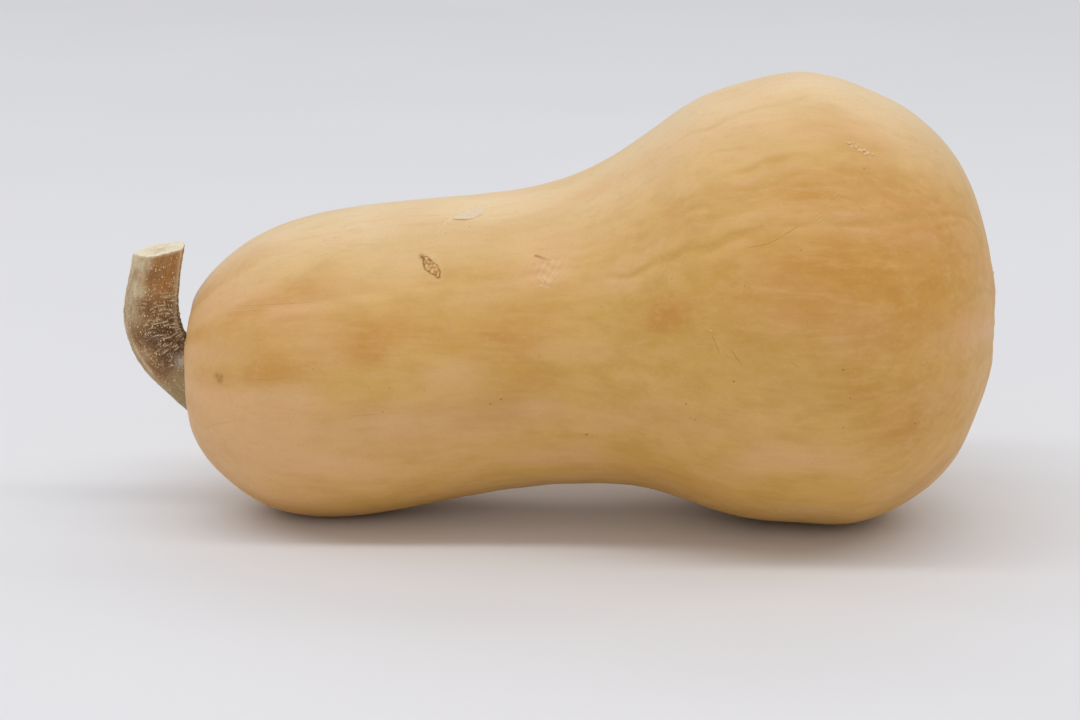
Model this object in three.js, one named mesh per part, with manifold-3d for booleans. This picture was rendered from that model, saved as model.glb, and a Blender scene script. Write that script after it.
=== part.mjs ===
/*
 * Butternut squash, lying on its side: one solid fruit and its dried stem.
 *
 * Millimetres. +X runs along the fruit from the stem end to the blossom end and +Z is up.
 * The origin is at the lowest point, under the middle of the whole squash's box.
 *
 * The fruit is a turned-looking form whose centreline rises from the slim neck to the round
 * bulb, with ten shallow lobes. It ends in a recess round the stem and a dimple at the
 * blossom end, and it is worn flat in two small places, under the neck and under the bulb.
 */
import * as THREE from 'three';
import { mergeVertices } from 'three/addons/utils/BufferGeometryUtils.js';
import Module from 'manifold-3d';

const wasm = await Module();
wasm.setup();

// Driving dimensions ---------------------------------------------------------------------

// The fruit's outline, from the middle of the stem recess to the middle of the blossom
// dimple: [distance from the stem end, radius there, height of the centreline].
const FRUIT_OUTLINE = [
  [4.5, 0, 43.5],
  [3.5, 9, 44],
  [-0.5, 16, 46.5],
  [2, 25, 46.5],
  [11, 35.5, 46],
  [24, 44, 46],
  [42, 48.5, 47.5],
  [64, 49, 50.5],
  [88, 47.5, 54],
  [110, 47.5, 57.5],
  [128, 50.5, 61.5],
  [143, 56, 66],
  [158, 63.5, 69],
  [174, 68.5, 69.5],
  [191, 70.5, 70],
  [208, 68.5, 68],
  [224, 61, 67.5],
  [238, 48, 67],
  [246, 31, 66.5],
  [249.5, 13.5, 63],
  [247.5, 0, 62.5],
];
// Ten lobes run lengthwise. They are faint on the neck, deepen between two distances from
// the stem end, and fade out towards the middle of each end.
const LOBES = 10;
const LOBE_GROOVE_ANGLE = THREE.MathUtils.degToRad(39);
const LOBE_DEPTH_NECK = 0.3;
const LOBE_DEPTH_BULB = 0.8;
const LOBE_GROWTH = [110, 190];
const LOBE_FADE_RADIUS = 30;

// Everything below height 0 is cut away by a block under the fruit, which leaves the two
// flats that it rests on.
const TABLE_BLOCK = [600, 300, 40];

// The stem's centreline, from inside the recess to its cut top:
// [distance from the stem end, half thickness there, height].
const STEM_LINE = [
  [6, 14, 43],
  [1, 11.5, 43.7],
  [-3, 9.3, 45.3],
  [-7.2, 8.6, 48.8],
  [-11, 8.5, 54.2],
  [-12.9, 8.5, 60.5],
  [-13.1, 8.3, 68],
  [-12.1, 8, 75.5],
  [-10.5, 7.8, 83.8],
];
const STEM_RIDGES = 5;
const STEM_RIDGE_ANGLE = THREE.MathUtils.degToRad(26);
// A ridge's height, as a share of the half thickness.
const STEM_RIDGE_HEIGHT = 0.06;
// The knife cut's slant across the top, and the share of the stem that leads up to it.
const STEM_CUT_SLANT = Math.tan(THREE.MathUtils.degToRad(20));
const STEM_CUT_REACH = 0.35;
// The stem's foot stands this far off the fruit's recess.
const STEM_GAP = 0.3;

// How finely the surfaces are cut into facets.
const FRUIT_RINGS = 2 * (FRUIT_OUTLINE.length - 1);
const FRUIT_SIDES = 5 * LOBES;
const STEM_RINGS = 20;
const STEM_SIDES = 5 * STEM_RIDGES;

// Geometry helpers -----------------------------------------------------------------------

const smoothLine = (rows) =>
  new THREE.CatmullRomCurve3(rows.map(([x, radius, z]) => new THREE.Vector3(x, radius, z)));

// A closed skin over a list of rings with equally many points, with a single point
// closing each end. The rings run so that their faces look outwards.
function closedSkin(start, rings, end) {
  const sides = rings[0].length;
  const points = [start, ...rings.flat(), end];
  const last = points.length - 1;
  const faces = [];
  for (let side = 0; side < sides; side += 1) {
    const next = (side + 1) % sides;
    faces.push(0, 1 + side, 1 + next);
    for (let ring = 0; ring < rings.length - 1; ring += 1) {
      const low = 1 + ring * sides;
      const high = low + sides;
      faces.push(low + side, high + next, low + next);
      faces.push(low + side, high + side, high + next);
    }
    const rim = last - sides;
    faces.push(last, rim + next, rim + side);
  }
  const geometry = new THREE.BufferGeometry();
  const numbers = points.flatMap((point) => [point.x, point.y, point.z]);
  geometry.setAttribute('position', new THREE.Float32BufferAttribute(numbers, 3));
  geometry.setIndex(faces);
  return geometry;
}

function toSolid(geometry) {
  const bare = geometry.clone();
  bare.deleteAttribute('normal');
  bare.deleteAttribute('uv');
  const merged = mergeVertices(bare);
  const mesh = new wasm.Mesh({
    numProp: 3,
    vertProperties: new Float32Array(merged.attributes.position.array),
    triVerts: new Uint32Array(merged.index.array),
  });
  return new wasm.Manifold(mesh);
}

function toGeometry(solid) {
  const mesh = solid.getMesh();
  const geometry = new THREE.BufferGeometry();
  geometry.setAttribute('position', new THREE.BufferAttribute(mesh.vertProperties, 3));
  geometry.setIndex(new THREE.BufferAttribute(mesh.triVerts, 1));
  geometry.computeVertexNormals();
  return geometry;
}

// Fruit ----------------------------------------------------------------------------------

// Angles round the fruit start at the front, -Y, and rise towards +Z.
function lobeSwell(x, radius, angle) {
  const growth = THREE.MathUtils.smoothstep(x, ...LOBE_GROWTH);
  const depth = THREE.MathUtils.lerp(LOBE_DEPTH_NECK, LOBE_DEPTH_BULB, growth);
  const fade = Math.min(1, radius / LOBE_FADE_RADIUS);
  return -depth * fade * Math.cos(LOBES * (angle - LOBE_GROOVE_ANGLE));
}

function fruitRing({ x, y: radius, z }) {
  return Array.from({ length: FRUIT_SIDES }, (_, side) => {
    const angle = (2 * Math.PI * side) / FRUIT_SIDES;
    const reach = radius + lobeSwell(x, radius, angle);
    return new THREE.Vector3(x, -reach * Math.cos(angle), z + reach * Math.sin(angle));
  });
}

function fruitSolid() {
  const line = smoothLine(FRUIT_OUTLINE);
  const stations = line.getPoints(FRUIT_RINGS);
  const rings = stations.slice(1, -1).map(fruitRing);
  const [start, end] = [stations[0], stations.at(-1)].map(
    (pole) => new THREE.Vector3(pole.x, 0, pole.z),
  );
  const whole = toSolid(closedSkin(start, rings, end));
  const table = new THREE.BoxGeometry(...TABLE_BLOCK).translate(0, 0, -TABLE_BLOCK[2] / 2);
  return whole.subtract(toSolid(table));
}

// Stem -----------------------------------------------------------------------------------

// A ring of the stem stands square to its centreline. Near the top it slants more and
// more, until the last ring lies in the plane of the knife cut.
function stemRing(line, along) {
  const { x, y: half, z } = line.getPointAt(along);
  const tangent = line.getTangentAt(along).setY(0).normalize();
  const across = new THREE.Vector3(tangent.z, 0, -tangent.x);
  const slant = STEM_CUT_SLANT * Math.max(0, 1 - (1 - along) / STEM_CUT_REACH);
  return Array.from({ length: STEM_SIDES }, (_, side) => {
    const angle = (2 * Math.PI * side) / STEM_SIDES;
    const ridge = Math.cos(STEM_RIDGES * (angle - STEM_RIDGE_ANGLE));
    const reach = half * (1 + STEM_RIDGE_HEIGHT * ridge);
    const sideways = reach * Math.cos(angle);
    return new THREE.Vector3(x, -reach * Math.sin(angle), z)
      .addScaledVector(across, sideways)
      .addScaledVector(tangent, slant * sideways);
  });
}

function stemSolid(fruit) {
  const line = smoothLine(STEM_LINE);
  const rings = Array.from({ length: STEM_RINGS + 1 }, (_, ring) =>
    stemRing(line, ring / STEM_RINGS),
  );
  const [start, end] = [0, 1].map((along) => line.getPointAt(along).setY(0));
  const whole = toSolid(closedSkin(start, rings, end));
  return whole.subtract(fruit.translate([-STEM_GAP, 0, 0]));
}

// The squash -----------------------------------------------------------------------------

const fruit = fruitSolid();
const stem = stemSolid(fruit);

const fruitMesh = new THREE.Mesh(
  toGeometry(fruit),
  new THREE.MeshStandardMaterial({ color: 0xd6a468, roughness: 0.5, metalness: 0 }),
);
fruitMesh.name = 'fruit';

const stemMesh = new THREE.Mesh(
  toGeometry(stem),
  new THREE.MeshStandardMaterial({ color: 0x8a6a44, roughness: 0.8, metalness: 0 }),
);
stemMesh.name = 'stem';

const squash = new THREE.Group();
squash.add(fruitMesh, stemMesh);

// The origin goes under the middle of the box.
const box = new THREE.Box3().setFromObject(squash);
const middle = box.getCenter(new THREE.Vector3());
for (const mesh of squash.children) {
  mesh.position.set(-middle.x, -middle.y, -box.min.z);
}

export default squash;
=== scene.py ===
"""The looks of a butternut squash that lies on a pale table.

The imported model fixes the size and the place. Round it this script makes the ribbed rind
with its scars, and the dry warty stem. The scene is in metres; the shape functions work in
millimetres in the fruit's own frame, where x is the distance from the stem end, y is 0 in
the middle, z is the height over the table, and the camera's side is -y. Turns round the
fruit start at the camera's side and pass the top at 90 degrees. Turns round the stem start
at the side that faces the fruit and pass the camera's side at 90 degrees.
"""
import math

import bpy
import numpy as np
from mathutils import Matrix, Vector


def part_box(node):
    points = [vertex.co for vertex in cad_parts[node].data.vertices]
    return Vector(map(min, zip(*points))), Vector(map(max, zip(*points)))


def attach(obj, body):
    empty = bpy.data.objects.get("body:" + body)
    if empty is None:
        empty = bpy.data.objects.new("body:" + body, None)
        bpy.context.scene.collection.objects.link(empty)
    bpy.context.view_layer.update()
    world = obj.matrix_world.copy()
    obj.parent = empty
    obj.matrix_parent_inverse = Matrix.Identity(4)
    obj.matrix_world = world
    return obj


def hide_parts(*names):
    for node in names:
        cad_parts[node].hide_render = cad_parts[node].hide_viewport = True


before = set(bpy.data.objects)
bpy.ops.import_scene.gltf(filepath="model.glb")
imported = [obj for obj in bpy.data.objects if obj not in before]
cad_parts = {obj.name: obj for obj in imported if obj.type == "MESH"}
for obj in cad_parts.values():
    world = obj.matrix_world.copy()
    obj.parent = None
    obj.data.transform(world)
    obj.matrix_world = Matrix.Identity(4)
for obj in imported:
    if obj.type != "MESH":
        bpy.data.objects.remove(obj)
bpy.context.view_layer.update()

MM = 0.001
DEGREE = math.pi / 180
FULL_TURN = 2 * math.pi
# One seeded source for everything that is strewn: pimples, specks and crumbs.
dice = np.random.default_rng(27)

# --- Sizes and places

# The fruit's outline, from the middle of the stem recess to the middle of the blossom
# dimple: distance from the stem end, radius there, height of the centreline.
FRUIT_OUTLINE = np.array([
    (4.5, 0, 43.5),
    (3.5, 9, 44),
    (-0.5, 16, 46.5),
    (2, 25, 46.5),
    (11, 35.5, 46),
    (24, 44, 46),
    (42, 48.5, 47.5),
    (64, 49, 50.5),
    (88, 47.5, 54),
    (110, 47.5, 57.5),
    (128, 50.5, 61.5),
    (143, 56, 66),
    (158, 63.5, 69),
    (174, 68.5, 69.5),
    (191, 70.5, 70),
    (208, 68.5, 68),
    (224, 61, 67.5),
    (238, 48, 67),
    (246, 31, 66.5),
    (249.5, 13.5, 63),
    (247.5, 0, 62.5),
])

# The stem's centreline, from inside the recess to its cut top: distance from the stem end,
# half thickness, height.
STEM_LINE = np.array([
    (6, 14, 43),
    (1, 11.5, 43.7),
    (-3, 9.3, 45.3),
    (-7.2, 8.6, 48.8),
    (-11, 8.5, 54.2),
    (-12.9, 8.5, 60.5),
    (-13.1, 8.3, 68),
    (-12.1, 8, 75.5),
    (-10.5, 7.8, 83.8),
])

LOBES = 10
LOBE_GROOVE = 39 * DEGREE
# How the grooves wander round the fruit on their way along it: distance, degrees.
LOBE_DRIFT = np.array([
    (-5, 2),
    (45, -2),
    (100, -1),
    (149, -7),
    (177, -5),
    (197, -1.5),
    (227, 6),
    (245, 17),
])
# Heights in millimetres: the ribs, the step under the main groove, broad lumps, small lumps.
RIB_HEIGHT = 1.3
STEP_HEIGHT = 0.36
BROAD_LUMP_HEIGHT = 0.13
SMALL_LUMP_HEIGHT = 0.035


# --- Curves and noise


class Spline:
    """A natural cubic spline: between two knots each value is the cubic whose second
    derivative runs straight from one knot's to the next's."""

    def __init__(self, knots, values):
        self.knots = np.asarray(knots, float)
        self.values = np.asarray(values, float).reshape(len(knots), -1)
        step = np.diff(self.knots)[:, None]
        slope = np.diff(self.values, axis=0) / step
        count = len(knots)
        system = np.eye(count)
        inner = np.arange(1, count - 1)
        system[inner, inner - 1] = step[:-1, 0]
        system[inner, inner] = 2 * (step[:-1, 0] + step[1:, 0])
        system[inner, inner + 1] = step[1:, 0]
        right = np.zeros_like(self.values)
        right[1:-1] = 6 * np.diff(slope, axis=0)
        self.bends = np.linalg.solve(system, right)

    def __call__(self, at, derivative=False):
        """The values at some distances, or how fast they change there."""
        at = np.asarray(at, float)
        span = np.clip(np.searchsorted(self.knots, at) - 1, 0, len(self.knots) - 2)
        step = (self.knots[span + 1] - self.knots[span])[..., None]
        past = at[..., None] - self.knots[span][..., None]
        left = step - past
        low, high = self.bends[span], self.bends[span + 1]
        first, second = self.values[span], self.values[span + 1]
        if derivative:
            slope = (high * past**2 - low * left**2) / (2 * step) + (second - first) / step
            return slope - step * (high - low) / 6
        return (
            (low * left**3 + high * past**3) / (6 * step)
            + (first / step - low * step / 6) * left
            + (second / step - high * step / 6) * past
        )


def chord_lengths(points):
    """The length of the straight chords up to each point."""
    return np.concatenate([[0], np.cumsum(np.linalg.norm(np.diff(points, axis=0), axis=1))])


def evenly_round(sides):
    """So many turns, evenly spaced all the way round."""
    return np.arange(sides) * FULL_TURN / sides


def smoothstep(low, high, value):
    """0 before low and 1 past high; high may be the smaller of the two."""
    share = np.clip((value - low) / (high - low), 0, 1)
    return share * share * (3 - 2 * share)


def bell(turn, middle, tightness):
    """1 at middle and falling to nearly 0 on the far side, smoothly all the way round."""
    return np.exp(tightness * (np.cos(turn - middle) - 1))


def waves(along, turn, size, count, most_round, seed):
    """Soft random lumps with no seam: a sum of cosines, each with a whole number of waves
    round the piece and its own random wavelength, at least size, along it."""
    draw = np.random.default_rng(seed)
    total = 0
    for _ in range(count):
        rounds = draw.integers(0, most_round + 1)
        pace = draw.uniform(-1, 1) * FULL_TURN / size
        total = total + np.cos(rounds * turn + pace * along + draw.uniform(0, FULL_TURN))
    return total / math.sqrt(count / 2)


# --- The fruit's surface


def extended_outline(extra=3):
    """The outline as a spline over the distance along it, and its length. A few extra rows
    are repeated past each end, mirrored, so that the outline leaves each pole square."""
    mirror = np.array([1, -1, 1])
    before = FRUIT_OUTLINE[extra:0:-1] * mirror
    after = FRUIT_OUTLINE[-2:-2 - extra:-1] * mirror
    rows = np.concatenate([before, FRUIT_OUTLINE, after])
    lengths = chord_lengths(rows[:, :2])
    start = lengths[extra]
    return Spline(lengths - start, rows), lengths[-1 - extra] - start


def shoulder_to_shoulder(samples=2000):
    """Distances from the stem end along the fruit's side, and the distance along the outline
    at each. The recess and the dimple are left out."""
    along = np.linspace(0, OUTLINE_LENGTH, samples)
    x = outline(along)[:, 0]
    side = slice(x.argmin(), x.argmax())
    return x[side], along[side]


outline, OUTLINE_LENGTH = extended_outline()
drift = Spline(LOBE_DRIFT[:, 0], LOBE_DRIFT[:, 1] * DEGREE)
SIDE_X, SIDE_ALONG = shoulder_to_shoulder()

FRUIT_LOW, FRUIT_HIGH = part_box("fruit")
ORIGIN = np.array([
    FRUIT_LOW.x - SIDE_X[0] * MM,
    (FRUIT_LOW.y + FRUIT_HIGH.y) / 2,
    FRUIT_LOW.z,
])


def to_scene(points):
    """From millimetres in the fruit's frame to metres in the scene."""
    return points * MM + ORIGIN


def along_at(x):
    """The distance along the outline where the fruit's side is x from the stem end."""
    return np.interp(x, SIDE_X, SIDE_ALONG)


def lobe_phase(x, turn):
    """The angle past the main groove, which wanders along the fruit."""
    return turn - LOBE_GROOVE - drift(x)[..., 0]


def lobe_strength(x, turn):
    """Deepest behind and on the upper front, less below and faint elsewhere: a constant and
    three bells round the fruit, all growing towards the bulb."""
    around = (
        0.12
        + 0.44 * bell(turn, 38 * DEGREE, 11)
        + 0.5 * bell(turn, 190 * DEGREE, 3)
        + 0.3 * bell(turn, -75 * DEGREE, 4)
    )
    return around * (0.25 + 0.75 * smoothstep(105, 180, x))


def upper_bulb(x, turn):
    """How much a place belongs to the wavy upper front of the bulb, from 0 to 1."""
    growth = 0.06 + 0.94 * smoothstep(100, 168, x) - 0.3 * smoothstep(208, 236, x)
    return growth * (0.85 * bell(turn, 36 * DEGREE, 11) + 0.12 * bell(turn, 66 * DEGREE, 9))


def wavy_streaks(x, turn):
    """Uneven lengthwise waves, 4 to 12 mm wide on the bulb, that wander, come and go: two
    broad and two fine cosines of the lobe's phase, each pair faded by its own noise."""
    wander = 0.022 * np.cos(x / 13 + 5 * turn) + 0.007 * np.cos(x / 3.4 - 9 * turn + 1)
    wavy = lobe_phase(x, turn) + wander + 0.006 * waves(x, turn, 9, 12, 12, seed=6)
    broad = 0.6 * np.cos(36 * wavy) + 0.55 * np.cos(53 * wavy + 2)
    fine = 0.5 * np.cos(77 * wavy + 4) + 0.35 * np.cos(104 * wavy + 1)
    broad_share = np.clip(0.75 + 0.6 * waves(x, turn, 24, 14, 12, seed=5), 0, 1.8)
    fine_share = np.clip(0.6 + 0.7 * waves(x, turn, 15, 14, 16, seed=7), 0, 1.8)
    return broad * broad_share + fine * fine_share


def furrows(x, turn):
    """Height of the ribs in millimetres, before they fade at the ends: ten lobes, the root
    of a raised squared sine, so that the crests are round and the grooves narrow; a step
    down past the main groove, which dies away round the fruit; and the wavy streaks."""
    phase = lobe_phase(x, turn)
    lobe = np.sqrt(np.sin(LOBES / 2 * phase) ** 2 + 0.35) - 0.93
    past_groove = (phase + math.pi) % FULL_TURN - math.pi
    step = smoothstep(-5 * DEGREE, 0, past_groove)
    step = step * np.exp(-np.maximum(past_groove, 0) / (25 * DEGREE))
    return (
        RIB_HEIGHT * lobe_strength(x, turn) * lobe
        - STEP_HEIGHT * step * (1 - 0.5 * smoothstep(105, 150, x))
        + (0.012 + 0.11 * upper_bulb(x, turn)) * wavy_streaks(x, turn)
    )


def rind_height(x, turn, radius):
    """Everything that stands out of the smooth outline, in millimetres."""
    ends = smoothstep(2, 30, radius)
    broad_lumps = BROAD_LUMP_HEIGHT * waves(x, turn, 45, 14, 6, seed=3)
    small_lumps = SMALL_LUMP_HEIGHT * waves(x, turn, 12, 16, 26, seed=4)
    lumps = broad_lumps + small_lumps
    return ends * furrows(x, turn) + smoothstep(0, 20, radius) * lumps


def rind(along, turn, lift=0.0):
    """Points, outward normals and lengthwise directions of the rind. The smooth fruit is a
    circle of the outline's radius round a centreline that climbs towards the bulb; the
    height of the ribs and lumps is added along its normal."""
    along, turn, lift = np.broadcast_arrays(along, turn, lift)
    x, radius, z = np.moveaxis(outline(along), -1, 0)
    dx, dradius, dz = np.moveaxis(outline(along, derivative=True), -1, 0)
    sine, cosine = np.sin(turn), np.cos(turn)
    points = np.stack([x, -radius * cosine, z + radius * sine], -1)
    lengthwise = np.stack([dx, -dradius * cosine, dz + dradius * sine], -1)
    round_it = np.stack([0 * x, sine, cosine], -1)
    normal = np.cross(lengthwise, round_it)
    normal /= np.linalg.norm(normal, axis=-1, keepdims=True)
    lengthwise /= np.linalg.norm(lengthwise, axis=-1, keepdims=True)
    points = points + normal * (rind_height(x, turn, radius) + lift)[..., None]
    return rest_on_table(points), normal, lengthwise


def rest_on_table(points, softness=0.3):
    """Presses what would sink below the table flat, with a soft edge: half the sum of the
    height and the root of its square plus the softness squared."""
    pressed = points.copy()
    height = points[..., 2]
    pressed[..., 2] = (height + np.sqrt(height**2 + softness**2)) / 2
    return pressed


# Broad tints of the rind: distance from the stem end, turn in degrees, half length and half
# width in millimetres, strength. Warm blotches are ochre to orange, blush ones are pink.
WARM_BLOTCHES = [
    (60.5, 15, 4.5, 4, 0.8),
    (67, 21, 11, 5, 0.4),
    (29, 13, 7, 4, 0.4),
    (34, 9, 16, 3, 0.3),
    (30, 33, 26, 10, 0.45),
    (50, 21, 34, 9, 0.4),
    (226, 34, 16, 20, 0.6),
    (103, 16, 16, 8, 0.75),
    (148, 9, 6, 6, 0.8),
    (193, 16, 30, 16, 0.75),
    (196, 39, 22, 6, 0.7),
    (184, -9, 9, 4, 0.4),
    (204, -8, 10, 5, 0.5),
    (222, -18, 14, 16, 0.5),
    (212, 14, 34, 34, 0.6),
    (204, 42, 20, 7, 0.75),
]
BLUSH_BLOTCHES = [
    (24, -6, 26, 14, 0.8),
    (12, -34, 24, 20, 0.9),
    (50, -32, 30, 12, 0.35),
    (10, 48, 14, 16, 0.8),
    (38, 33, 16, 8, 0.5),
    (183, 9, 8, 6, 0.8),
    (212, 6, 16, 7, 0.5),
    (238, 4, 10, 8, 0.9),
    (160, -22, 26, 9, 0.3),
    (200, -28, 22, 9, 0.25),
    (68, -14, 30, 9, 0.5),
    (113, 37, 10, 8, 0.7),
    (206, 32, 28, 4.5, 0.75),
    (150, 62, 26, 10, 0.3),
    (94, -16, 16, 12, 0.5),
]


def blotches(table, x, turn, radius):
    """The sum of soft ovals, each a bell over the distance along and across the rind."""
    total = 0
    for middle, angle, half_length, half_width, strength in table:
        across = np.angle(np.exp(1j * (turn - angle * DEGREE))) * radius
        away = ((x - middle) / half_length) ** 2 + (across / half_width) ** 2
        total = total + strength * np.exp(-away)
    return total


def rind_tints(along, turn):
    """Per-point shares, each 0 to 1, that the rind's finish reads: warm ochre blotches,
    pink blotches, troughs between the ribs, and the pale along the top, partly a waxy bloom
    and partly painted sheen of the overhead lamps."""
    along, turn = np.broadcast_arrays(along, turn)
    x, radius, _ = np.moveaxis(outline(along), -1, 0)
    patchy = waves(x, turn, 45, 22, 15, seed=11)
    pale = waves(x, turn, 38, 22, 17, seed=12)
    off_top = 1 - 0.75 * bell(turn, 98 * DEGREE, 4)
    warm = blotches(WARM_BLOTCHES, x, turn, radius) + 0.3 * off_top * np.clip(patchy, 0, 2)
    blush = blotches(BLUSH_BLOTCHES, x, turn, radius) + 0.3 * off_top * np.clip(pale, 0, 2)
    upper = upper_bulb(x, turn)
    streaks = wavy_streaks(x, turn)
    furrow = 0.38 - (0.25 + 0.3 * upper) * furrows(x, turn) - (0.05 + 0.24 * upper) * streaks
    bulb_top = bell(turn, 68 * DEGREE, 8) * smoothstep(105, 165, x)
    blush = blush + (0.05 + 0.22 * upper + 0.18 * bulb_top) * np.clip(streaks, 0, 2)
    # The top is painted paler: partly a waxy bloom, partly painted sheen where the overhead lamps
    # shine on it.
    bloom_and_sheen = bell(turn, 95 * DEGREE, 3.4 + 2 * smoothstep(130, 180, x)) * (0.98 + 0.06 * pale)
    # A narrow pale band along the upper neck, added to the top's pale: painted sheen of the
    # overhead lamps.
    sheen_band = 0.22 * bell(turn, 64 * DEGREE, 40)
    sheen_band = sheen_band * (1 - 0.6 * smoothstep(100, 160, x)) * smoothstep(40, 65, x)
    bloom_and_sheen = bloom_and_sheen + sheen_band
    ends = smoothstep(4, 34, radius)
    bloom_and_sheen = bloom_and_sheen * smoothstep(10, 66, radius + 32 * smoothstep(120, 60, x))
    shares = {"warm": warm, "blush": blush, "furrow": furrow * ends, "bloom_and_sheen": bloom_and_sheen}
    return {key: np.clip(values, 0, 1) for key, values in shares.items()}


# --- The stem's surface

stem_line = Spline(chord_lengths(STEM_LINE[:, ::2]), STEM_LINE)
STEM_LENGTH = stem_line.knots[-1]
STEM_RIDGES = 5
STEM_RIDGE_TURN = 26 * DEGREE
STEM_RIDGE_HEIGHT = 0.38
# How steeply the knife cut rises towards the fruit and sinks towards the camera, and the
# stretch of stem that leads up to it.
STEM_CUT_SLANT = math.tan(20 * DEGREE)
STEM_CUT_NOD = math.tan(4 * DEGREE)
STEM_CUT_REACH = 0.35 * STEM_LENGTH
# The distance between the crumpled folds inside the bend, coarse and fine.
FOLD_PITCH = 1.45
FINE_FOLD_PITCH = 0.9


def crumple(along, turn):
    """The crests of the cross folds, where the bark is crumpled inside the bend: high powers
    of two swaying cosines along the stem, broken up by noise."""
    inside = bell(turn, 44 * DEGREE, 2)
    share = inside * smoothstep(12, 18, along) * (1 - smoothstep(34, 46, along))
    sway = 0.8 * np.cos(3 * turn + along / 5) + 0.5 * np.cos(8 * turn - along / 3)
    fold = np.abs(np.cos(math.pi * along / FOLD_PITCH + sway)) ** 8
    fine_fold = np.abs(np.cos(math.pi * along / FINE_FOLD_PITCH - 1.3 * sway + 1)) ** 6
    broken = np.clip(0.4 + 0.85 * waves(along, turn, 3, 16, 20, seed=21), 0, 1.4)
    return share * broken * (0.75 * fold + 0.35 * fine_fold)


def bark_height(along, turn):
    """Relief of the bark in millimetres: five rounded ridges with finer ribs between, a
    spread of toes at the foot, crumpled cross folds inside the bend, a rough grain, and a
    slimmer outer side towards the cut."""
    ridge = np.cos(STEM_RIDGES * (turn - STEM_RIDGE_TURN))
    sharp_ridge = ridge + 0.35 * np.cos(2 * STEM_RIDGES * (turn - STEM_RIDGE_TURN))
    toes = 1 + 0.9 * (1 - smoothstep(2, 14, along))
    ribs = 0.09 * np.cos(23 * turn + 0.5 * np.cos(along / 6))
    grain = 0.05 * waves(along, turn, 2.2, 18, 60, seed=22)
    grain = grain + 0.07 * waves(along, turn, 9, 10, 9, seed=23)
    slimmer = 0.3 * smoothstep(26, 44, along) * (1 - np.cos(turn))
    ridges = STEM_RIDGE_HEIGHT * toes * sharp_ridge
    return ridges + ribs + 0.3 * crumple(along, turn) + grain - slimmer


def bark(along, turn):
    """Points, outward normals and lengthwise directions of the stem's bark: rings square
    to the centreline, which slant more and more near the top until they lie in the cut."""
    along, turn = np.broadcast_arrays(along, turn)
    x, half, z = np.moveaxis(stem_line(along), -1, 0)
    dx, _, dz = np.moveaxis(stem_line(along, derivative=True), -1, 0)
    pace = np.hypot(dx, dz)
    tangent = np.stack([dx, 0 * dx, dz], -1) / pace[..., None]
    across = np.stack([dz, 0 * dx, -dx], -1) / pace[..., None]
    outward = across * np.cos(turn)[..., None] - np.array([0, 1, 0]) * np.sin(turn)[..., None]
    reach = half + bark_height(along, turn)
    near_cut = np.clip(1 - (STEM_LENGTH - along) / STEM_CUT_REACH, 0, 1)
    climb = STEM_CUT_SLANT * np.cos(turn) - STEM_CUT_NOD * np.sin(turn) + 0.02
    points = np.stack([x, 0 * x, z], -1) + outward * reach[..., None]
    points = points + tangent * (near_cut * climb * reach)[..., None]
    return points, outward, tangent


# --- Making meshes


def add_object(name, data):
    """A new object at the origin, in the scene."""
    made = bpy.data.objects.new(name, data)
    bpy.context.scene.collection.objects.link(made)
    return made


def piece(name, points, faces, material, slot, shares=None):
    """A smooth-shaded object from points in the fruit's frame and blocks of faces, riding on
    the root body. Its shares are values at the points, which the finish reads."""
    mesh = bpy.data.meshes.new(name)
    corners = [face for block in faces for face in block.tolist()]
    mesh.from_pydata(to_scene(points).tolist(), [], corners)
    for key, values in (shares or {}).items():
        layer = mesh.attributes.new(key, "FLOAT", "POINT")
        layer.data.foreach_set("value", np.asarray(values, np.float32).ravel())
    mesh.materials.append(material)
    mesh.shade_smooth()
    mesh.validate()
    made = add_object(name, mesh)
    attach(made, "root")
    return made


def closed_tube(start, rings, end):
    """Points and faces of a closed skin: a pole, a grid of rings, a pole. Quads join the
    rings, and a fan of triangles joins each pole to its ring."""
    count, sides = rings.shape[:2]
    ring, side = np.meshgrid(np.arange(count - 1), np.arange(sides), indexing="ij")
    low = 1 + ring * sides + side
    low_next = 1 + ring * sides + (side + 1) % sides
    quads = np.stack([low, low + sides, low_next + sides, low_next], -1).reshape(-1, 4)
    around = np.arange(sides)
    next_one = (around + 1) % sides
    last = 1 + count * sides
    rim = last - sides
    start_fan = np.stack([0 * around, 1 + around, 1 + next_one], -1)
    end_fan = np.stack([0 * around + last, rim + next_one, rim + around], -1)
    return np.vstack([start, rings.reshape(-1, 3), end]), [quads, start_fan, end_fan]


def closed_sheet(top, under):
    """Points and faces of the thin body between two grids of points of one size."""
    rows, columns = top.shape[:2]
    index = np.arange(rows * columns).reshape(rows, columns)
    corners = [index[:-1, :-1], index[1:, :-1], index[1:, 1:], index[:-1, 1:]]
    quads = np.stack(corners, -1).reshape(-1, 4)
    rim = np.concatenate([index[0, :-1], index[:-1, -1], index[-1, :0:-1], index[:0:-1, 0]])
    following = np.roll(rim, -1)
    walls = np.stack([rim, following, following + index.size, rim + index.size], -1)
    points = np.vstack([top.reshape(-1, 3), under.reshape(-1, 3)])
    return points, [quads, quads[:, ::-1] + index.size, walls]


# The rings of a stud, as heights over the skin in shares of its own height, and its sides.
STUD_LEVELS = np.array([-0.4, 0.25, 0.7])
STUD_SIDES = 8


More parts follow.
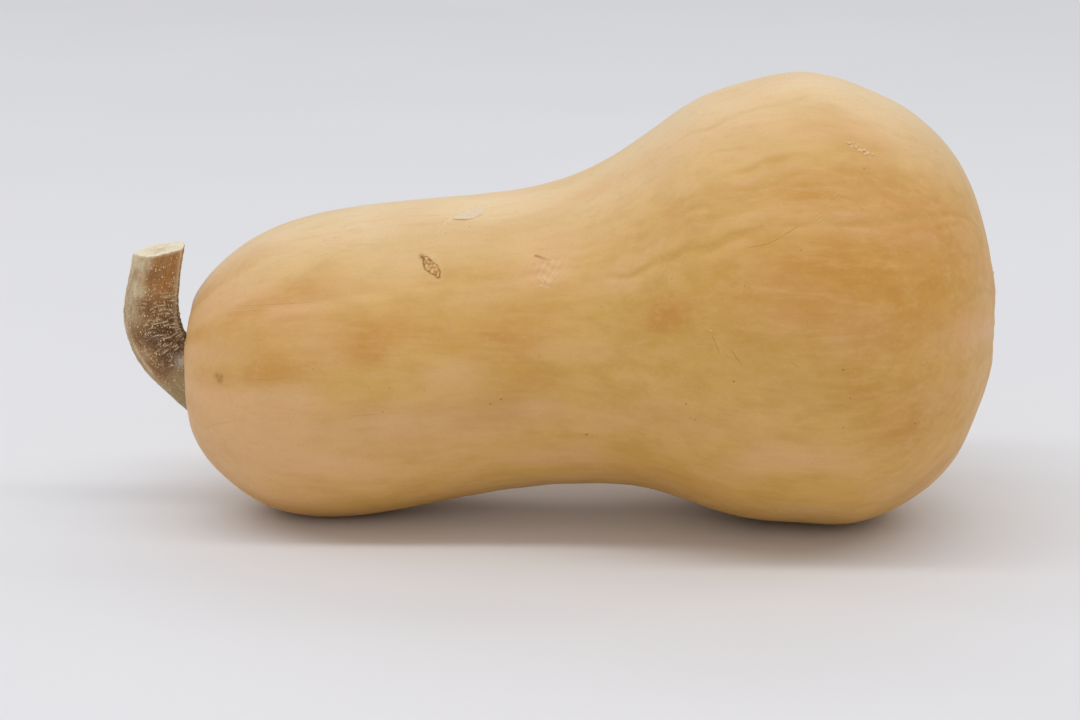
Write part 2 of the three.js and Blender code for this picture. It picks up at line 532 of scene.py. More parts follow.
def studs(points, normals, lengthwise, radii, heights, stretch):
    """Many small domes at once. Each is rings of a quarter ellipse, as long as stretch
    times its width, whose rim is sunk a little below the surface it sits on."""
    spread = np.sqrt(1 - np.clip(STUD_LEVELS, 0, 1) ** 2)
    turn = evenly_round(STUD_SIDES)
    rings = np.stack([
        np.outer(spread, np.cos(turn)),
        np.outer(spread, np.sin(turn)),
        np.outer(STUD_LEVELS, np.ones(STUD_SIDES)),
    ], -1)
    shape, faces = closed_tube([0, 0, STUD_LEVELS[0]], rings, [0, 0, 1])
    sideways = np.cross(lengthwise, normals)
    made = (
        points[:, None]
        + (radii * stretch)[:, None, None] * shape[None, :, :1] * lengthwise[:, None]
        + radii[:, None, None] * shape[None, :, 1:2] * sideways[:, None]
        + heights[:, None, None] * shape[None, :, 2:] * normals[:, None]
    )
    first = len(shape) * np.arange(len(points))[:, None, None]
    every = [(block + first).reshape(-1, block.shape[1]) for block in faces]
    return made.reshape(-1, 3), every


# --- Finishes


class Value:
    """A node's output. Sums and products with it add the Math nodes that they need."""

    def __init__(self, finish, output):
        self.finish = finish
        self.output = output

    def math_node(self, operation, first, second):
        return self.finish.node("ShaderNodeMath", {"operation": operation}, {0: first, 1: second})

    def __add__(self, other):
        return self.math_node("ADD", self, other)

    __radd__ = __add__

    def __mul__(self, other):
        return self.math_node("MULTIPLY", self, other)

    __rmul__ = __mul__

    def __sub__(self, other):
        return self.math_node("SUBTRACT", self, other)

    def __rsub__(self, other):
        return self.math_node("SUBTRACT", other, self)


# The sockets of a Mix node that take two colours and give their mixture.
FIRST_COLOUR = 6
SECOND_COLOUR = 7
MIXED_COLOUR = 2


class Finish:
    """A material being made. node() adds any node; surface() ends it in one shader."""

    def __init__(self, name):
        self.material = bpy.data.materials.new(name)
        self.material.use_nodes = True
        self.tree = self.material.node_tree
        self.tree.nodes.clear()

    def node(self, kind, settings=None, sockets=None, output=0):
        made = self.tree.nodes.new(kind)
        for key, value in (settings or {}).items():
            setattr(made, key, value)
        for key, value in (sockets or {}).items():
            if isinstance(value, Value):
                self.tree.links.new(value.output, made.inputs[key])
            else:
                made.inputs[key].default_value = value
        return Value(self, made.outputs[output]) if made.outputs else None

    def place(self, stretch=(1, 1, 1)):
        """Object coordinates, squeezed along each axis by stretch."""
        at = self.node("ShaderNodeTexCoord", output="Object")
        return self.node("ShaderNodeMapping", {}, {"Vector": at, "Scale": stretch})

    def noise(self, size, detail=3, rough=0.5, stretch=(1, 1, 1)):
        """Soft noise from 0 to 1 whose lumps are about size millimetres wide."""
        sockets = {
            "Vector": self.place(stretch),
            "Scale": 1 / (size * MM),
            "Detail": detail,
            "Roughness": rough,
        }
        return self.node("ShaderNodeTexNoise", {}, sockets)

    def share(self, name):
        """A share from 0 to 1 that the mesh carries."""
        return self.node("ShaderNodeAttribute", {"attribute_name": name}, output="Fac")

    def ramp(self, value, low, high):
        """0 below low, 1 above high, smooth between; high may be the smaller of the two."""
        sockets = {"Value": value, "From Min": low, "From Max": high}
        return self.node("ShaderNodeMapRange", {"interpolation_type": "SMOOTHSTEP"}, sockets)

    def mix(self, share, first, second):
        """The first colour where share is 0, the second where it is 1."""
        sockets = {"Factor": share, FIRST_COLOUR: first, SECOND_COLOUR: second}
        return self.node("ShaderNodeMix", {"data_type": "RGBA"}, sockets, output=MIXED_COLOUR)

    def layers(self, tone, colours, shares):
        """The tone with each named colour laid over it in turn, as far as its share says."""
        for name, share in shares.items():
            tone = self.mix(share, tone, colours[name])
        return tone

    def bump(self, height, strength, depth, below=None):
        """A bump whose full height is depth millimetres, on top of the one below."""
        sockets = {"Height": height, "Strength": strength, "Distance": depth * MM}
        if below is not None:
            sockets["Normal"] = below
        return self.node("ShaderNodeBump", {}, sockets)

    def surface(self, **sockets):
        named = {key.replace("_", " "): value for key, value in sockets.items()}
        shader = self.node("ShaderNodeBsdfPrincipled", {}, named)
        self.node("ShaderNodeOutputMaterial", {}, {"Surface": shader})
        return self.material


def colour(red, green, blue):
    """A linear colour from the 0 to 255 values of a display."""
    share = np.array([red, green, blue]) / 255
    linear = np.where(share <= 0.04045, share / 12.92, ((share + 0.055) / 1.055) ** 2.4)
    return (*linear.tolist(), 1)


RIND_COLOURS = {
    "gold": colour(216, 170, 83),
    "light_gold": colour(222, 175, 95),
    "mottle": colour(206, 158, 71),
    "patch": colour(221, 171, 98),
    # The pale of the top: partly waxy bloom, partly painted sheen of the overhead lamps.
    "bloom_and_sheen": colour(232, 207, 165),
    "blush": colour(231, 183, 134),
    "warm": colour(203, 143, 56),
    "furrow": colour(202, 152, 72),
    "fleck": colour(236, 196, 140),
    "light_streak": colour(232, 186, 126),
    "deep_streak": colour(205, 150, 72),
    "grain": colour(196, 146, 78),
    "dark": colour(158, 110, 46),
    "pale": colour(238, 208, 160),
}
BARK_COLOURS = {
    "straw": colour(200, 176, 134),
    "light_straw": colour(226, 212, 184),
    "brown": colour(164, 108, 40),
    "dark": colour(84, 52, 28),
    "olive": colour(158, 142, 100),
    "mould": colour(206, 200, 186),
    "pale": colour(226, 204, 164),
    "fibre": colour(124, 88, 50),
    "grain": colour(222, 198, 150),
}


def rind_finish():
    """Gold with soft mottling, then each share that the mesh carries, then fine streaks and
    grain, and last the dark and pale of the marks. Satin, slightly waxy."""
    finish = Finish("rind")
    broad = finish.noise(22, 2, 0.5, (0.7, 1, 1))
    mottle = finish.noise(7, 3, 0.6, (0.6, 1, 1))
    patches = finish.noise(4.5, 3, 0.6, (0.7, 1.2, 1.2))
    flecks = finish.noise(1.5, 3, 0.7)
    streak = finish.noise(2.6, 4, 0.65, (0.15, 1, 1))
    grain = finish.noise(0.6, 2, 0.6)
    dark = finish.share("dark")
    hue = RIND_COLOURS
    tone = finish.mix(finish.ramp(broad, 0.36, 0.62), hue["gold"], hue["light_gold"])
    tone = finish.layers(tone, hue, {
        "mottle": finish.ramp(mottle, 0.4, 0.66) * 0.65,
        "patch": finish.ramp(patches, 0.46, 0.7) * 0.5,
        # The pale along the top: partly waxy bloom, partly painted sheen of the overhead lamps.
        "bloom_and_sheen": finish.share("bloom_and_sheen"),
        "blush": finish.share("blush") * 0.7,
        "warm": finish.share("warm") * (0.3 + mottle * 0.8),
        "furrow": finish.ramp(finish.share("furrow"), 0.4, 1) * 0.62,
        "fleck": finish.ramp(flecks, 0.52, 0.74) * 0.12,
        "light_streak": finish.ramp(streak, 0.46, 0.72) * 0.26,
        "deep_streak": finish.ramp(streak, 0.5, 0.28) * 0.2,
        "grain": finish.ramp(grain, 0.5, 0.8) * 0.28,
        "dark": dark,
        "pale": finish.share("pale"),
    })
    fine = finish.bump(grain, 0.25, 0.12)
    lines = finish.bump(streak, 0.35, 0.22, fine)
    return finish.surface(
        Base_Color=tone,
        Roughness=0.38 + mottle * 0.18 + dark * 0.2,
        Normal=finish.bump(mottle, 0.3, 0.25, lines),
        Subsurface_Weight=0.08,
        Subsurface_Radius=(0.004, 0.002, 0.001),
        IOR=1.45,
    )


def bark_finish():
    """Straw, then each share that the mesh carries, with fibres along the stem. Dry."""
    finish = Finish("stem_bark")
    blotch = finish.noise(4, 3, 0.6)
    fibre = finish.noise(1.1, 3, 0.65, (1, 1, 0.22))
    grain = finish.noise(0.35, 2, 0.6)
    hue = BARK_COLOURS
    tone = finish.mix(finish.ramp(blotch, 0.35, 0.68), hue["straw"], hue["light_straw"])
    tone = finish.layers(tone, hue, {
        "brown": finish.share("brown") * (0.72 + blotch * 0.4),
        "dark": finish.share("dark") * (0.7 + fibre * 0.5),
        "olive": finish.share("olive"),
        "mould": finish.share("mould") * finish.ramp(fibre, 0.3, 0.55),
        "pale": finish.share("pale"),
        "fibre": finish.ramp(fibre, 0.45, 0.75) * 0.45,
        "grain": finish.ramp(grain, 0.5, 0.75) * 0.4,
    })
    rough = finish.bump(fibre, 0.5, 0.25)
    return finish.surface(
        Base_Color=tone,
        Roughness=0.62 + grain * 0.2,
        Normal=finish.bump(grain, 0.6, 0.15, rough),
    )


def plain_finish(name, first, second, size, roughness, depth=0.1):
    """Two tones that drift into each other over size millimetres, with a fine grain."""
    finish = Finish(name)
    drifted = finish.noise(size, 3, 0.6)
    grain = finish.noise(size / 5, 2, 0.6)
    return finish.surface(
        Base_Color=finish.mix(finish.ramp(drifted, 0.35, 0.65), colour(*first), colour(*second)),
        Roughness=roughness + grain * 0.15,
        Normal=finish.bump(grain, 0.5, depth),
    )


def film_finish():
    """Dry, thin and half see-through, clearer where the mesh's share of clear grows."""
    finish = Finish("skin_film")
    cloud = finish.noise(2.5, 3, 0.6)
    return finish.surface(
        Base_Color=finish.mix(cloud, colour(253, 241, 214), colour(249, 232, 200)),
        Roughness=0.35 + cloud * 0.2,
        Alpha=(0.22 + cloud * 0.4) * (1 - finish.share("clear")),
    )


# --- The pieces


def make_rind(material, rings=320, sides=300):
    """The whole skin as one closed surface, finer on the upper front than behind."""
    even = evenly_round(sides)
    turn = even - 0.45 * np.sin(even - 45 * DEGREE)
    along = np.linspace(0, OUTLINE_LENGTH, rings + 2)
    skin, _, _ = rind(along[1:-1, None], turn[None])
    poles, _, _ = rind(along[[0, -1]], np.zeros(2))
    tints = rind_tints(along[1:-1, None], turn[None])
    ends = rind_tints(along[[0, -1]], np.zeros(2))
    shares = {
        key: np.concatenate([ends[key][:1], tints[key].ravel(), ends[key][1:]]) for key in tints
    }
    points, faces = closed_tube(poles[:1], skin, poles[1:])
    made = piece("rind", points, faces, material, "rind", shares)
    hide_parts("fruit")


def bark_tints(along, turn):
    """Per-point shares, each 0 to 1, that the bark's finish reads: brown and dark inside the
    bend, olive at the foot, a spot of mould, and pale crests, ridge, streak and cut edge."""
    blotchy = waves(along, turn, 9, 12, 6, seed=31)
    brown = 1.15 * bell(turn, 58 * DEGREE, 2.6) + 0.5 * bell(turn, -20 * DEGREE, 1)
    brown = brown + 0.75 * bell(turn, 110 * DEGREE, 2) * smoothstep(36, 24, along)
    dark = 1.15 * bell(turn, 56 * DEGREE, 1.9)
    dark = dark * smoothstep(7, 13, along) * smoothstep(44, 24, along)
    dark = dark + 0.7 * bell(turn, 8 * DEGREE, 12) * smoothstep(46, 36, along)
    ridge = bell(turn, STEM_RIDGE_TURN, 160) * smoothstep(14, 30, along)
    streak = bell(turn, 147 * DEGREE, 90) * smoothstep(13, 17, along) * smoothstep(26, 22, along)
    cut_edge = smoothstep(-1, 0, along - STEM_LENGTH)
    shares = {
        "brown": brown + 0.16 * blotchy,
        "dark": dark + 0.12 * blotchy,
        "olive": 0.9 * (1 - smoothstep(6, 14, along + 1.5 * blotchy)),
        "mould": bell(turn, 62 * DEGREE, 22) * np.exp(-(((along - 12.5) / 2.4) ** 2)),
        "pale": 0.9 * crumple(along, turn) + 0.6 * ridge + 0.8 * streak + 0.5 * cut_edge,
    }
    return {key: np.clip(values, 0, 1) for key, values in shares.items()}


def make_bark(material, rings=300, sides=260):
    """The stem's skin from its hidden foot to the cut, closed flat at both ends."""
    along, turn = np.broadcast_arrays(
        np.linspace(0.5, STEM_LENGTH, rings)[:, None],
        evenly_round(sides)[None],
    )
    skin, _, _ = bark(along, turn)
    shares = {key: np.pad(values.ravel(), 1) for key, values in bark_tints(along, turn).items()}
    points, faces = closed_tube(skin[0].mean(0), skin, skin[-1].mean(0))
    made = piece("bark", points, faces, material, "stem_bark", shares)
    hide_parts("stem")


# The knife cut from its hidden skirt to its middle: share of the bark's reach, height over
# the plane of the cut in millimetres.
CUT_PROFILE = np.array([
    (0.93, -0.8),
    (0.96, -0.3),
    (0.98, 0.05),
    (0.985, 0.15),
    (0.96, 0.2),
    (0.9, 0.18),
    (0.82, 0.14),
    (0.74, 0.1),
    (0.66, 0.1),
    (0.58, 0.08),
    (0.5, 0.06),
    (0.4, 0.02),
    (0.3, 0),
    (0.2, -0.03),
    (0.1, -0.05),
])
# Only what stands above this height is rough.
CUT_SKIRT_TOP = -0.2


def make_cut_face(material, sides=160):
    """The knife cut: nearly flat, with a low rim and a slightly sunk pith. Each ring is the
    bark's last ring drawn in towards its middle, at the profile's height."""
    turn = evenly_round(sides)
    rim, _, tangent = bark(STEM_LENGTH, turn)
    middle = rim.mean(0)
    share, height = CUT_PROFILE.T[..., None]
    rough = 0.07 * waves(30 * share, turn[None], 4, 16, 40, seed=41) * (height > CUT_SKIRT_TOP)
    rings = middle + share[..., None] * (rim - middle) + (height + rough)[..., None] * tangent
    below, top = middle + CUT_PROFILE[[0, -1], 1:] * tangent[0]
    piece("stem_cut", *closed_tube(below, rings, top), material, "stem_bark")


def make_pimples(material, rows=56, in_a_row=30):
    """Pale raised dots in loose lengthwise rows all over the bark."""
    turn = np.repeat(evenly_round(rows), in_a_row)
    turn = turn + dice.normal(0, 0.04, turn.size)
    along = dice.uniform(5, STEM_LENGTH - 1.5, turn.size)
    size = dice.uniform(0.11, 0.17, turn.size) * dice.choice([0.75, 1, 1.5], turn.size)
    points, faces = studs(*bark(along, turn), size, size * 0.8, dice.uniform(1, 1.5, turn.size))
    piece("stem_pimples", points, faces, material, "stem_bark")


# --- Marks on the rind


def rind_sheet(along, turn, top, under):
    """Points and faces of the thin body that follows the rind between two lifts."""
    return closed_sheet(rind(along, turn, top)[0], rind(along, turn, under)[0])


def on_both_sides(shares):
    """Shares on a sheet's top grid, repeated for its underside."""
    return {key: np.tile(values.ravel(), 2) for key, values in shares.items()}


# A patch stands this far off the skin, dips this far under it at its border, and reaches
# this deep below it, in millimetres.
PATCH_CLEARANCE = 0.02
PATCH_DIP = 0.06
PATCH_DEPTH = 0.7


def make_patch(name, middle, size, tilt, cells, shape, material):
    """A closed sheet that hugs the rind round a middle, given as a distance from the stem
    end and a turn in degrees. size is its half length and half width. u runs along the
    tilted length and v across it, in millimetres; shape gives the lift over the skin and
    the shares. Towards an oval border both fade out and the sheet dips under."""
    u = np.linspace(-size[0], size[0], cells[0])[:, None]
    v = np.linspace(-size[1], size[1], cells[1])[None]
    cosine, sine = math.cos(tilt * DEGREE), math.sin(tilt * DEGREE)
    along = along_at(middle[0] + u * cosine - v * sine)
    turn = middle[1] * DEGREE + (u * sine + v * cosine) / outline(along_at(middle[0]))[1]
    lift, shares = shape(u, v)
    edge = smoothstep(0.6, 1, np.hypot(u / size[0], v / size[1]))
    lift = (lift + PATCH_CLEARANCE) * (1 - edge) - PATCH_DIP * edge
    shares = {key: np.clip(value, 0, 1) * (1 - edge) for key, value in shares.items()}
    tints = rind_tints(along, turn)
    shares["blush"] = np.maximum(tints["blush"], shares.get("blush", 0))
    points, faces = rind_sheet(along, turn, lift, -PATCH_DEPTH)
    piece(name, points, faces, material, "rind", on_both_sides({**tints, **shares}))


def segment_distance(u, v, start, end):
    """Distance in the flat to a straight stroke, and the share of the way along it."""
    du, dv = end[0] - start[0], end[1] - start[1]
    share = np.clip(((u - start[0]) * du + (v - start[1]) * dv) / (du**2 + dv**2), 0, 1)
    return np.hypot(u - start[0] - share * du, v - start[1] - share * dv), share


def soft_dots(u, v, table):
    """The sum of round bells, each given by its place along and across and its radius."""
    return sum(np.exp(-((np.hypot(u - at, v - side) / wide) ** 2)) for at, side, wide in table)


# Crumbs beside the scab's rim.
SCAB_CRUMBS = [
    (2.4, -1.6, 0.36),
    (3.3, -1.35, 0.34),
    (1.5, -2.0, 0.28),
    (4.1, -0.9, 0.28),
    (4.9, 0.7, 0.24),
]


def scab_shape(u, v):
    """An old wound, 11 by 3 mm: a leaf-shaped raised brown rim round a tan crinkled
    inside, open at one shoulder, with a dark knot at its upper end. u rises to the knot."""
    sway = 0.45 * np.sin(0.55 * u + 0.6) + 0.05 * np.sin(2.3 * u)
    half = 1.65 * np.clip((u + 5.3) / 4.2, 0, 1) ** 0.75 * np.clip((4.2 - u) / 4.5, 0, 1) ** 0.45
    half = half + 0.06 * np.sin(2.7 * u + 2 * np.sign(v)) + 0.04 * np.sin(6.1 * u + v)
    across = np.abs(v - sway)
    length = smoothstep(-5.4, -5.0, u) * smoothstep(4.4, 3.9, u)
    inside = smoothstep(0.3, -0.25, across - half) * length
    rim = np.exp(-(((across - half) / 0.26) ** 2)) * length
    rim = rim * (0.8 + 0.2 * np.sin(1.9 * u + 3 * v))
    vein, _ = segment_distance(u, v, (0.6, 0.5), (4.6, 0.9))
    knot = np.hypot((u - 4.7) / 1.2, (v - 0.9 - 0.15 * np.sin(6 * u)) / 0.8)
    knot = np.exp(-(knot**2)) * (0.75 + 0.25 * np.cos(9 * u) * np.cos(8 * v))
    crinkle = np.clip(0.5 + 0.35 * waves(u, v, 1.5, 16, 4, seed=61), 0, 1)
    crumbs = soft_dots(u, v, SCAB_CRUMBS)
    rim = np.clip(rim + 0.8 * np.exp(-((vein / 0.3) ** 2)), 0, 1)
    lift = 0.2 * rim + inside * (0.05 + 0.16 * crinkle) + 0.25 * knot + 0.25 * crumbs
    dark = rim + knot + inside * 0.55 * (1 - crinkle) ** 2
    return lift, {
        "dark": dark * (1 - 0.9 * np.clip(crumbs, 0, 1)),
        "pale": inside * 0.5 * crinkle**2 * (1 - rim) + 0.7 * crumbs,
        "warm": inside * 0.85,
    }


# The graze's short scratches: where each starts and ends, along and across.
GRAZE_SCRATCHES = [
    ((-3, -1.8), (-1.1, -4.2)),
    ((-1.6, -2), (0.2, -4.4)),
    ((1.6, -1.2), (-0.6, -4.6)),
    ((2.9, -1.6), (0.9, -4.2)),
    ((-2.2, -4.6), (0.6, -6)),
]


def graze_shape(u, v):
    """A healed graze: pink, faintly raised, with a dark nick above and short scratches."""
    upper = np.exp(-((u / 4.4) ** 2) - ((v - 1.2) / 2.6) ** 2)
    lower = np.exp(-(((u - 0.6) / 3.2) ** 2) - ((v + 3.9) / 2) ** 2)
    soft = upper + 0.8 * lower
    nick, way = segment_distance(u, v, (-5, 6.6), (0.4, 3.1))
    nick = np.exp(-((nick / 0.4) ** 2)) * (1 - 0.75 * way)
    scratch = 0
    for start, end in GRAZE_SCRATCHES:
        line, way = segment_distance(u, v, start, end)
        scratch = scratch + np.exp(-((line / 0.26) ** 2)) * (1 - 0.5 * way)
    folds = 0.5 + 0.3 * np.cos(1.9 * v + 0.9 * u + 1.2 * np.sin(0.9 * u))
    folds = folds + 0.2 * np.cos(2.7 * u - 1.3 * v)
    return 0.14 * soft * folds * (1 - nick) + 0.1 * scratch, {
        "dark": 0.95 * nick + 0.2 * soft * (1 - folds),
        "pale": 0.35 * soft * folds + 0.38 * scratch,
        "blush": 1.4 * soft,
    }


def wrinkle_patch_shape(u, v):
    """Fine wrinkles that slant across the rib, broken and strongest in the middle."""
    soft = np.exp(-((u / 6.5) ** 2) - (v / 4.5) ** 2)
    broken = np.clip(0.3 + 0.6 * waves(u, v, 4, 14, 1, seed=62), 0, 1)
    line = (0.5 + 0.5 * np.cos(6.1 * v - 0.06 * u * u + 0.9 * np.sin(u / 1.6))) ** 2
    return 0.035 * soft * broken * line, {
        "pale": 0.22 * soft * broken * line,
        "dark": 0.12 * soft * broken * (1 - line),
    }


BROWN_SPOTS = [(-0.9, 0.7, 0.75), (0.7, 0.6, 0.6), (0.1, -0.7, 0.9)]
SPOTS_HALO = [(0, 0, 2.6)]


def spot_shape(u, v):
    """Three small brown spots with soft edges, in a faint halo."""
    spots = soft_dots(u, v, BROWN_SPOTS)
    return 0.02 * spots, {"dark": 0.55 * spots + 0.12 * soft_dots(u, v, SPOTS_HALO)}


# Scratches: stops as distance from the stem end and turn in degrees, half width in
# millimetres, share of dark (or of pale, when negative).
SCRATCHES = [
    ([(171, 25.5), (177.7, 26.2), (182, 28)], 0.16, 0.55),
    ([(181.5, 27.6), (186.9, 30.2)], 0.2, 0.45),
    ([(161.6, 4.0), (162.8, 1.4), (164.3, -1.7)], 0.24, 0.4),
    ([(167.3, 0.3), (168.8, -1.8), (170.5, -3.5)], 0.2, 0.55),
    ([(165.3, -0.2), (166.8, -2.4)], 0.2, 0.25),
    ([(184.1, -2.5), (187.1, -4)], 0.22, 0.35),
    ([(110.7, 6.8), (110.7, 4.3)], 0.16, 0.45),
    ([(53.9, -6.7), (59, -6.6), (64.5, -7.3)], 0.16, 0.3),
    ([(19.8, 10.2), (28.1, 9.6), (35.9, 10.4)], 0.3, 0.12),
    ([(6, -24), (12, -14), (19.6, -8.5)], 0.25, 0.14),
    ([(213, -35), (215, -35.4)], 0.2, 0.5),
    ([(14, 43), (28, 39), (45, 36.5)], 0.25, 0.12),
    ([(12, 41.5), (22, 38.5), (34, 36)], 0.3, -0.22),
    ([(84.0, 69.9), (82.3, 68.6), (80.4, 65.4)], 0.6, -0.85),
    ([(80.2, 64.8), (79.0, 61.6)], 0.35, -0.5),
]


def scratch_strip(stops, half_width):
    """Points and faces of one narrow strip along a spline through the stops, with its body,
    1 along the middle and 0 at the edges, and the rind's tints. The middle stands just clear
    of the skin, and the edges and ends dip under it."""
    stops = np.array(stops, float)
    across = np.array([-1, -0.5, 0, 0.5, 1])
    count = 8 * int(np.ptp(stops[:, 0]) + 2)
    spline = Spline(np.linspace(0, 1, len(stops)), stops)
    way = np.linspace(0, 1, count)
    x, turn = np.moveaxis(spline(way), -1, 0)
    slope = spline(way, derivative=True)
    radius = outline(along_at(x))[:, 1]
    direction = np.stack([slope[:, 0], slope[:, 1] * DEGREE * radius], -1)
    direction /= np.linalg.norm(direction, axis=-1, keepdims=True)
    ragged = 1 + 0.25 * np.cos(9 * way * count / 8) + 0.15 * np.cos(23 * way * count / 8)
    ends = np.sqrt(1 - 0.99 * (2 * way - 1) ** 4)
    offset = half_width * (ragged * ends)[:, None] * across
    along = along_at(x[:, None] - direction[:, 1:] * offset)
    around = turn[:, None] * DEGREE + direction[:, :1] * offset / radius[:, None]
    body = (1 - across**2) * ends[:, None]
    points, faces = rind_sheet(along, around, 0.12 * body - 0.06, -0.5)
    return points, faces, body, rind_tints(along, around)


def make_scratches(material):
    """All the scratches as one piece, each as dark or as pale as it is deep."""
    points, faces, shares = [], [], []
    start = 0
    for stops, half_width, depth in SCRATCHES:
        strip, strip_faces, body, tints = scratch_strip(stops, half_width)
        faces += [block + start for block in strip_faces]
        start += len(strip)
        points.append(strip)
        tints["dark"] = body * max(depth, 0)
        tints["pale"] = body * max(-depth, 0)
        shares.append(on_both_sides(tints))
    shares = {key: np.concatenate([part[key] for part in shares]) for key in shares[0]}
    piece("scratches", np.vstack(points), faces, material, "rind", shares)


# Dark specks: distance from the stem end, turn in degrees, radius in millimetres.
SPECKS = np.array([
    (99.3, -8.5, 0.45),
    (96, -9.8, 0.35),
    (125, -28, 0.5),
    (154.5, -16.5, 0.3),
    (155.8, -20.8, 0.35),
    (157.3, -21.2, 0.3),
    (199.7, -3.7, 0.45),
    (202.1, -10.7, 0.3),
    (200.4, -19, 0.35),
    (222.1, -20.8, 0.4),
    (182.6, -54.5, 0.4),
    (63.8, -6.5, 0.3),
    (168.2, -8.2, 0.35),
    (88.6, 63.5, 0.3),
    (43, 12, 0.3),
    (66, 2, 0.25),
    (171, 16, 0.3),
    (187, 24, 0.3),
    (206, 48, 0.3),
    (150, 20, 0.25),
])
# Pale crumbs, in the same terms: the lumpy scar, a few below the film, one by a scratch and
# one at the blossom end.
CRUMBS = np.array([
    (201.8, 54.9, 0.75),
    (203, 55.4, 0.55),
    (203.9, 54.2, 0.75),
    (205.1, 53.4, 0.8),
    (206.3, 53.9, 0.7),
    (207.3, 53.2, 0.85),
    (208.7, 53.3, 0.7),
    (204.6, 55.2, 0.5),
    (206.6, 52.6, 0.5),
    (202.6, 54.1, 0.5),
    (81.5, 67.2, 0.35),
    (79.9, 63, 0.3),
    (78.7, 60.5, 0.3),
    (76.8, 57, 0.25),
    (161.4, 4.8, 0.4),
    (249, 54, 0.8),
])


def make_dots(name, table, material, share, height, extra=0):
    """Domes on the skin, as high as height times their radius, and extra tiny ones strewn at
    random all over it. Each gets its own random strength of one share."""
    x = np.concatenate([table[:, 0], dice.uniform(8, 242, extra)])
    turn = np.concatenate([table[:, 1] * DEGREE, dice.uniform(-math.pi, math.pi, extra)])
    size = np.concatenate([0.8 * table[:, 2], dice.uniform(0.08, 0.18, extra)])
    along = along_at(x)
    points, faces = studs(*rind(along, turn), size, size * height, dice.uniform(1, 1.5, size.size))
    each = len(points) // size.size
    shares = {key: np.repeat(values, each) for key, values in rind_tints(along, turn).items()}
    shares[share] = np.repeat(dice.uniform(0.35, 0.75, size.size), each)
    piece(name, points, faces, material, "rind", shares)


def make_peeling_film(material, rows=60, columns=26):
    """A film of dried skin that peels: a long triangle between two curves, whose lower edge
    has curled up and whose upper edge grows clear."""
    way = np.linspace(0, 1, rows)[:, None]
    rise = np.linspace(0, 1, columns)[None]
    low = np.stack([83 + 9.8 * way, 69.2 + 2.6 * way**3 - 1.3 * np.sin(math.pi * way)], -1)
    high = np.stack([83.1 + 10.6 * way, 69.5 + 12.5 * way**0.6 + 0.4 * np.sin(11 * way)], -1)
    spot = low + rise[..., None] * (high - low)
    along = along_at(spot[..., 0])
    turn = spot[..., 1] * DEGREE
    curl = (1 - rise) ** 3 * (0.05 + 0.3 * np.sin(math.pi * np.clip(1.5 * way, 0, 1)))
    ripple = 0.05 * np.sin(9 * way + 5 * rise) + 0.04 * np.sin(23 * way - 8 * rise)
    points, faces = rind_sheet(along, turn, 0.10 + curl + ripple, 0.02 + curl + ripple)
    clear = 1 - smoothstep(1, 0.6, rise) * smoothstep(1, 0.85, way)
    piece("peeling_film", points, faces, material, "rind", on_both_sides({"clear": clear}))


# The blossom scar's rings, from its rim to its middle: radius, height over the rind.
BLOSSOM_RINGS = np.array([
    (7, -0.5),
    (6.6, 0.05),
    (6, 0.35),
    (5.2, 0.4),
    (4.6, 0.22),
    (4, 0.2),
    (3.4, 0.6),
    (2.8, 0.65),
    (2.2, 0.35),
    (1.6, 0.35),
    (1, 0.9),
])


def make_blossom_scar(material, sides=64):
    """The corky button in the dimple, where the flower sat: rings round the fruit's axis,
    slightly five-cornered, at the profile's height over the rind."""
    turn = evenly_round(sides)[None]
    radius, height = BLOSSOM_RINGS.T[..., None]
    along = OUTLINE_LENGTH - radius * (1 + 0.06 * np.cos(5 * turn + radius / 2))
    lift = height + 0.06 * waves(3 * radius, turn, 4, 8, 20, seed=51)
    rings, _, _ = rind(along, turn, lift)
    pole, normal, _ = rind(np.array([OUTLINE_LENGTH]), np.zeros(1))
    points, faces = closed_tube(pole - 0.6 * normal, rings, pole + 0.8 * normal)
    piece("blossom_scar", points, faces, material, "rind")


def make_marks(skin):
    """Everything that lies on the rind."""
    make_patch("scab", (77.6, 45.6), (9, 4.5), 116.5, (180, 90), scab_shape, skin)
    make_patch("graze", (113.2, 36.8), (10, 10.5), 0, (130, 136), graze_shape, skin)
    make_patch("fine_wrinkles", (194.5, 35), (13, 10), 43, (110, 150), wrinkle_patch_shape, skin)
    make_patch("brown_spots", (12.9, 9.2), (5, 5), 0, (60, 60), spot_shape, skin)
    make_scratches(skin)
    make_dots("specks", SPECKS, skin, "dark", 0.12, 90)
    make_dots("crumbs", CRUMBS, skin, "pale", 0.7)
    make_peeling_film(film_finish())
    make_blossom_scar(plain_finish("cork", (188, 150, 100), (136, 100, 62), 2, 0.75, 0.2))


# --- Scene


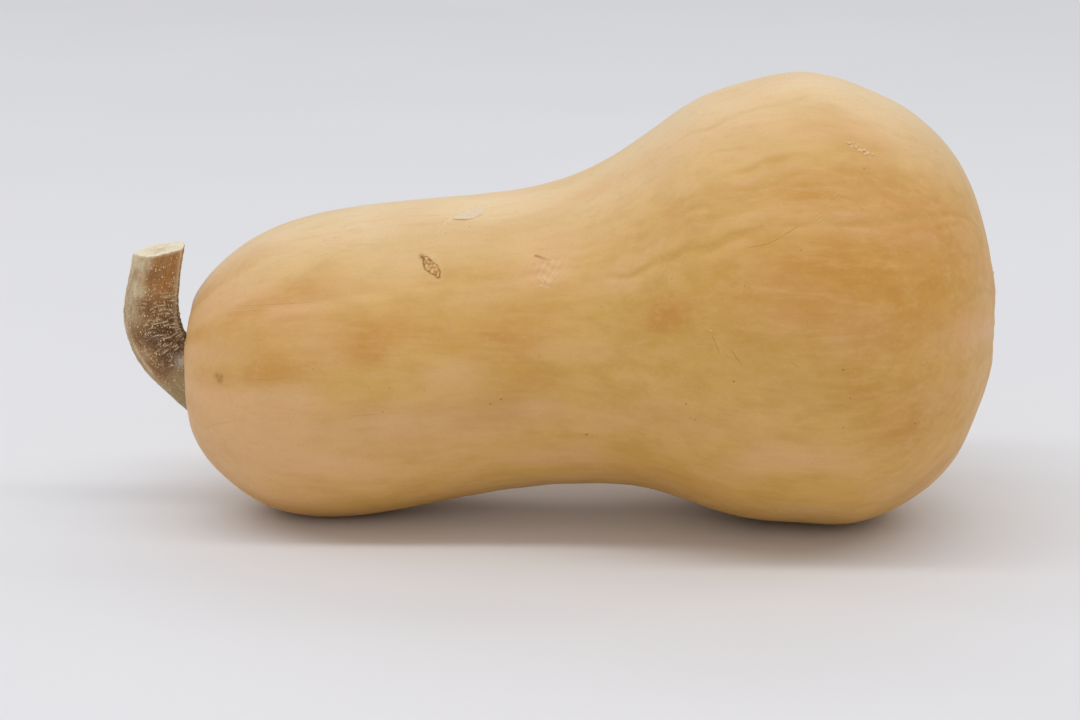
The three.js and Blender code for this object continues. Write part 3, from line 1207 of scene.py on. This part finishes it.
def make_camera():
    """A long lens a little above the squash, standing slightly towards its blossom end."""
    azimuth = 2 * DEGREE
    elevation = 14 * DEGREE
    distance = 0.9
    aim = Vector((-0.0042, 0, 0.0493))
    back = Vector((
        math.sin(azimuth) * math.cos(elevation),
        -math.cos(azimuth) * math.cos(elevation),
        math.sin(elevation),
    ))
    data = bpy.data.cameras.new("camera")
    data.lens = 94.95
    data.sensor_width = 36
    made = add_object("camera", data)
    made.location = aim + back * distance
    made.rotation_euler = (-back).to_track_quat("-Z", "Y").to_euler()
    bpy.context.scene.camera = made


def make_floor(radius=6.0, sides=96):
    """A wide flat disc at the height of the table."""
    turn = evenly_round(sides)
    points = np.stack([radius * np.cos(turn), radius * np.sin(turn), 0 * turn], -1)
    mesh = bpy.data.meshes.new("floor")
    mesh.from_pydata(points.tolist(), [], [list(range(sides))])
    paint = plain_finish("table_top", (226, 226, 229), (228, 228, 231), 400, 0.6, 0.02)
    mesh.materials.append(paint)
    made = add_object("floor", mesh)


def make_strip(name, lean, size, power, height=2.0, aside=0):
    """A soft lamp along the squash, overhead, leaning back from the camera by an angle, or
    towards the camera where the angle is negative."""
    data = bpy.data.lights.new(name, "AREA")
    data.shape = "RECTANGLE"
    data.size, data.size_y = size
    data.energy = power
    made = add_object(name, data)
    made.location = (aside, height * math.tan(lean), height)
    made.rotation_euler = (-lean, 0, 0)


def make_studio():
    """Long soft lamps in rows over a white table, in pale even light."""
    make_floor()
    make_strip("lamp_over", -12 * DEGREE, (5, 0.3), 27)
    make_strip("lamp_behind_left", 23 * DEGREE, (2, 0.3), 7, aside=-2.5)
    make_strip("lamp_behind_right", 23 * DEGREE, (2, 0.3), 7, aside=2.5)
    make_strip("lamp_far", 48 * DEGREE, (4, 0.9), 13)
    make_strip("lamp_front", -62 * DEGREE, (4, 1.2), 11, 1.6)
    world = bpy.data.worlds.new("studio")
    world.use_nodes = True
    sky = world.node_tree.nodes["Background"]
    sky.inputs["Color"].default_value = (0.96, 0.97, 1, 1)
    sky.inputs["Strength"].default_value = 0.49
    bpy.context.scene.world = world
    bpy.context.scene.view_settings.view_transform = "Standard"


make_camera()
make_studio()
skin = rind_finish()
make_rind(skin)
make_marks(skin)
make_bark(bark_finish())
make_cut_face(plain_finish("stem_wood", (234, 224, 198), (222, 207, 177), 3, 0.65, 0.1))
make_pimples(plain_finish("stem_dots", (232, 212, 176), (214, 190, 150), 1, 0.55, 0.05))
